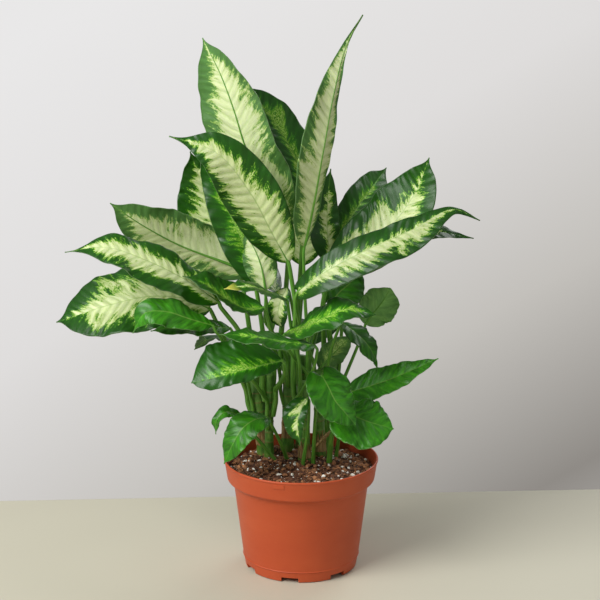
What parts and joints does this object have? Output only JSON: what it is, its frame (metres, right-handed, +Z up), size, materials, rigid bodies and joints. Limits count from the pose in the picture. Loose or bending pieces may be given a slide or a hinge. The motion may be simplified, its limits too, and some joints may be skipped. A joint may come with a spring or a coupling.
{
  "type": "potted dieffenbachia",
  "caption": "Leafy house plant with broad cream-centred leaves on fleshy stems, standing in a round tapered plastic nursery pot filled with potting mix.",
  "frame": {"origin": "middle of the pot's base, on the surface it stands on", "axes": "+Z up along the pot's axis; the plant is seen from its front when looking along +Y, with +X to the right"},
  "size_m": [0.4054, 0.2624, 0.5416],
  "materials": {
    "pot_plastic": "injection-moulded terracotta-coloured polypropylene, satin, with a faint moulding line",
    "potting_mix": "dark brown bark and peat crumbs with white perlite grains, dull",
    "cane_skin": "smooth green stem skin with tan leaf scars, slightly waxy",
    "leaf_blade": "glossy green leaf with a cream centre, jagged green margin and a paler matt underside"
  },
  "bodies": {
    "root": {"pot": "pot_plastic", "soil": "potting_mix", "cane_left_thick": "cane_skin", "cane_left_thin": "cane_skin", "cane_middle": "cane_skin", "cane_front": "cane_skin", "cane_right": "cane_skin", "cane_back_right": "cane_skin", "cane_back": "cane_skin", "leaf_crown_left": "leaf_blade", "leaf_crown_back": "leaf_blade", "leaf_crown_upright": "leaf_blade", "leaf_arching_left": "leaf_blade", "leaf_back_left_upper": "leaf_blade", "leaf_back_left_lower": "leaf_blade", "leaf_centre_ribbed": "leaf_blade", "leaf_side_left_upper": "leaf_blade", "leaf_side_left_middle": "leaf_blade", "leaf_side_left_lower": "leaf_blade", "leaf_side_left_drooping": "leaf_blade", "leaf_back_left_dark": "leaf_blade", "leaf_front_left_oval": "leaf_blade", "leaf_left_side_on": "leaf_blade", "leaf_front_yellow_tip": "leaf_blade", "leaf_front_flat": "leaf_blade", "leaf_centre_half_cream": "leaf_blade", "leaf_right_middle": "leaf_blade", "leaf_right_drooping": "leaf_blade", "leaf_right_back_dark": "leaf_blade", "leaf_right_round": "leaf_blade", "leaf_low_right_pointed": "leaf_blade", "leaf_low_heart": "leaf_blade", "leaf_low_right_broad": "leaf_blade", "leaf_low_centre": "leaf_blade", "leaf_low_left_pointed": "leaf_blade", "leaf_low_left_curled": "leaf_blade", "leaf_crown_right_back": "leaf_blade", "leaf_right_back_upper": "leaf_blade", "leaf_right_upper": "leaf_blade", "leaf_right_long": "leaf_blade", "leaf_right_back_tip": "leaf_blade", "leaf_right_back_low": "leaf_blade", "leaf_far_left": "leaf_blade", "leaf_far_right": "leaf_blade", "leaf_far_middle": "leaf_blade", "leaf_far_low": "leaf_blade", "leaf_far_low_left": "leaf_blade"}
  },
  "joints": []
}
